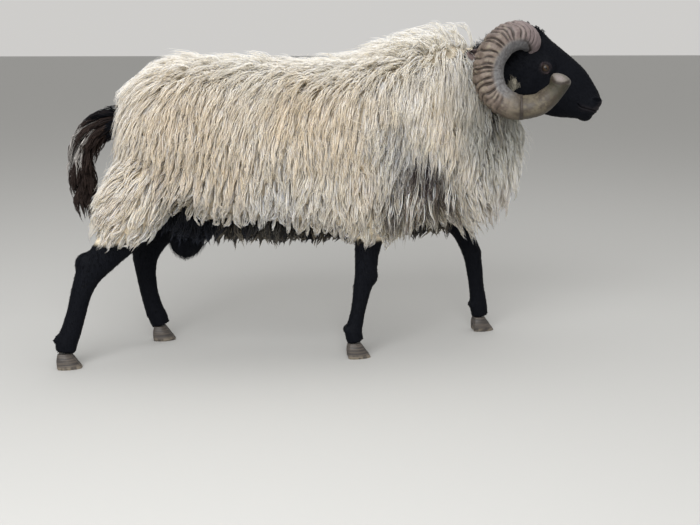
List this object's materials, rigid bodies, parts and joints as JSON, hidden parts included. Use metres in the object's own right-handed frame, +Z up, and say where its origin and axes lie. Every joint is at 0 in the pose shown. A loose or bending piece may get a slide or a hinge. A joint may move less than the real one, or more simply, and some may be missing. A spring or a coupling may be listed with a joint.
{
  "type": "horned blackface ram",
  "caption": "Life-size blackface ram in long shaggy fleece, standing in mid stride, with ridged curling horns, dark bare face and legs, cloven hooves and a long hairy tail.",
  "frame": {"origin": "centre of the bounding box on the ground, under the animal", "axes": "+X to the animal's nose, +Y to its left side, +Z up"},
  "size_m": [1.4154, 0.5388, 0.894],
  "materials": {
    "fleece": "long coarse wool in hanging locks, cream with grey and dirty patches",
    "black_hair": "short close blue-black hair with a slight gloss, long and coarse on the tail",
    "horn": "horn: ringed with growth ridges, duller at the base, smooth to the tip",
    "eye": "wet glossy amber-brown with a dark level pupil",
    "hoof": "dull dark horn, scuffed"
  },
  "bodies": {
    "root": {"barrel": "fleece", "ear_left": "black_hair", "ear_right": "black_hair", "eye_left": "eye", "eye_right": "eye", "foreclaw_left_left": "hoof", "foreclaw_left_right": "hoof", "foreclaw_right_left": "hoof", "foreclaw_right_right": "hoof", "foreleg_left": "black_hair", "foreleg_right": "black_hair", "head": "black_hair", "hindclaw_left_left": "hoof", "hindclaw_left_right": "hoof", "hindclaw_right_left": "hoof", "hindclaw_right_right": "hoof", "hindleg_left": "black_hair", "hindleg_right": "black_hair", "horn_left": "horn", "horn_right": "horn", "neck": "fleece", "rump": "fleece", "scrotum": "black_hair", "shoulders": "fleece", "tail_brush": "black_hair", "tail_root": "black_hair"}
  },
  "joints": []
}
